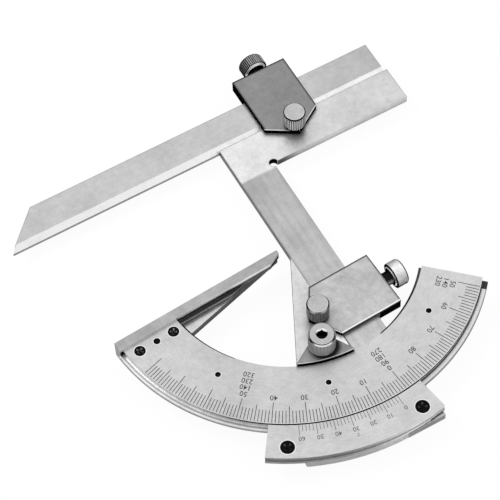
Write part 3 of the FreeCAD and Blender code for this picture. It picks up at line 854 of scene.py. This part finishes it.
def cross_head(lists, x, y, radius, shank, bottom, turn):
    """Countersunk screw with a cross recess, added to lists of vertices, faces and indices."""
    vertices, faces, indices = lists
    count = 48
    top = SCALE_TOP
    first = len(vertices)
    rings = [(shank, bottom), (shank, top - radius + shank), (radius, top - 0.12), (radius * 0.93, top)]
    for r, z in rings:
        vertices += circle(x, y, r, z, count)
    for k in range(len(rings) - 1):
        faces += band(first + k * count, first + (k + 1) * count, count)
    faces.append([first + i for i in range(count - 1, -1, -1)])

    def cross_radius(a, arm, wide):
        b = (a + math.pi / 4) % (math.pi / 2) - math.pi / 4
        along = arm / math.cos(b)
        side = wide / max(abs(math.sin(b)), 1e-6)
        return min(along, side)

    base = first + (len(rings) - 1) * count
    loops = [base]
    for arm, wide, z in ((0.62, 0.17, top - 0.02), (0.36, 0.06, top - 0.6)):
        start = len(vertices)
        for i in range(count):
            a = 2 * math.pi * i / count
            r = cross_radius(a - turn, arm * radius, wide * radius)
            vertices.append((x + r * math.cos(a), y + r * math.sin(a), z))
        loops.append(start)
    for low, high in zip(loops, loops[1:]):
        faces += band(low, high, count)
    before_walls = len(faces) - count - len(indices)
    faces.append([loops[-1] + i for i in range(count)])
    # The cross's walls take material 1, a painted highlight; its bottom stays black.
    indices.extend([0] * before_walls + [1] * count + [0])


def rim_ring(lists, x, y, inner, outer):
    """Bright ring round a bore in the graduated face, a painted highlight of its chamfer."""
    vertices, faces = lists
    count = 48
    first = len(vertices)
    for r, rise in ((inner, -0.05), (inner, 0.004), (outer, 0.004), (outer, -0.02)):
        vertices += circle(x, y, r, SCALE_TOP + rise, count)
    for k in range(3):
        faces += band(first + k * count, first + (k + 1) * count, count)


heads = ([], [], [])
rims = ([], [])
for station, turn in zip(BASE_SCREW_STATIONS, (0.5, 0.9)):
    cross_head(heads, -station, -FASTENER_LINE, 2.0, 1.0, 0.6, turn)
    rim_ring(rims, -station, -FASTENER_LINE, 2.0, 2.25)
screws = piece("cross_head_base_screws", mesh_of("cross_head_base_screws", *heads), "base",
               [black, recess_steel])
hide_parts("base_ruler_screws")
rim_ring(rims, -DOWEL_STATION, -FASTENER_LINE, 1.2, 1.4)
for angle in PIN_ANGLES:
    rim_ring(rims, *polar(PIN_CIRCLE, angle), 1.0, 1.2)
piece("base_bore_rims", mesh_of("base_bore_rims", *rims), "base", [rim_steel])

heads = ([], [], [])
rims = ([], [])
for angle, turn in zip(VERNIER_SCREW_ANGLES, (0.3, 1.1)):
    x, y = polar(VERNIER_SCREW_CIRCLE, angle - 90)
    cross_head(heads, x, y, 2.5, 1.25, 3.3, turn)
    rim_ring(rims, x, y, 2.5, 2.8)
screws = piece("cross_head_vernier_screws", mesh_of("cross_head_vernier_screws", *heads), "sector",
               [black, recess_dim], sector_turn)
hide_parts("vernier_screws")
piece("vernier_bore_rims", mesh_of("vernier_bore_rims", *rims), "sector", [rim_steel],
      sector_turn)

back_rows = [(6.4, -4.7, False, FACE), (7.0, -4.1, True, KNURL), (7.0, -0.8, True, FACE),
             (6.5, -0.3, False, FACE)]
back_knob = piece("knurled_adjusting_knob", knurled("knurled_adjusting_knob", back_rows, 80, 0.2),
                  "adjuster", [knob_steel, knob_dark, knurl_steel, groove_plain],
                  sector_turn @ moved(*polar(ADJUSTER_CIRCLE, ADJUSTER_ANGLE - 90)))
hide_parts("adjusting_knob")


# ------------------------------------------------- floor, light and camera

corners = ((-1, -1), (1, -1), (1, 1), (-1, 1))
floor_mesh = mesh_of("floor", [(x * FLOOR_HALF, y * FLOOR_HALF, FLOOR_AT) for x, y in corners],
                     [[0, 1, 2, 3]])
floor = bpy.data.objects.new("floor", floor_mesh)
scene.collection.objects.link(floor)
t = Tree("pale_floor")
t.shader.inputs["Base Color"].default_value = (0.9, 0.9, 0.9, 1)
t.shader.inputs["Roughness"].default_value = 0.9
path = t.add("ShaderNodeLightPath")
seen = t.math("MAXIMUM", path.outputs["Is Camera Ray"],
              t.math("MAXIMUM", path.outputs["Is Glossy Ray"], path.outputs["Is Transmission Ray"]))
glow = t.add("ShaderNodeEmission")
glow.inputs[0].default_value = (1, 1, 1, 1)
blend = t.add("ShaderNodeMixShader")
t.link(t.math("MULTIPLY", seen, 0.93), blend.inputs[0])
t.link(t.shader.outputs[0], blend.inputs[1])
t.link(glow.outputs[0], blend.inputs[2])
t.link(blend.outputs[0], t.tree.nodes["Material Output"].inputs[0])
floor_mesh.materials.append(t.material)

world = bpy.data.worlds.new("studio")
scene.world = world
world.use_nodes = True
wt = world.node_tree
coords = wt.nodes.new("ShaderNodeTexCoord")
split = wt.nodes.new("ShaderNodeSeparateXYZ")
wt.links.new(coords.outputs["Generated"], split.inputs[0])
ramp = wt.nodes.new("ShaderNodeValToRGB")
wt.links.new(split.outputs[2], ramp.inputs[0])
stops = [(0.0, 0.42), (0.35, 0.62), (0.75, 0.95), (1.0, 1.05)]
while len(ramp.color_ramp.elements) < len(stops):
    ramp.color_ramp.elements.new(0.5)
for element, (position, value) in zip(ramp.color_ramp.elements, stops):
    element.position = position
    element.color = (value, value, value, 1)
wt.links.new(ramp.outputs[0], wt.nodes["Background"].inputs[0])


def lamp(name, place, target, size, power):
    data = bpy.data.lights.new(name, "AREA")
    data.shape = "DISK"
    data.size = size
    data.energy = power
    obj = bpy.data.objects.new(name, data)
    obj.location = place
    aim = Vector(target) - Vector(place)
    obj.rotation_euler = aim.to_track_quat("-Z", "Y").to_euler()
    scene.collection.objects.link(obj)


lamp("key_lamp", (-0.35, 0.30, 0.60), (0, 0, 0), 0.35, 2.2)
lamp("fill_lamp", (0.55, -0.25, 0.45), (0, 0, 0), 0.5, 1.2)

camera_data = bpy.data.cameras.new("camera")
camera_data.lens = 171.08
camera_data.sensor_width = 36
camera = bpy.data.objects.new("camera", camera_data)
right = Vector((0.839091, -0.543096, -0.031185))
up = Vector((0.480711, 0.713429, 0.509839))
back_axis = Vector((-0.254644, -0.442792, 0.859704))
camera.matrix_world = Matrix((
    (right.x, up.x, back_axis.x, -0.21926),
    (right.y, up.y, back_axis.y, -0.35597),
    (right.z, up.z, back_axis.z, 0.70897),
    (0, 0, 0, 1),
))
scene.collection.objects.link(camera)
scene.camera = camera
scene.view_settings.view_transform = "Standard"
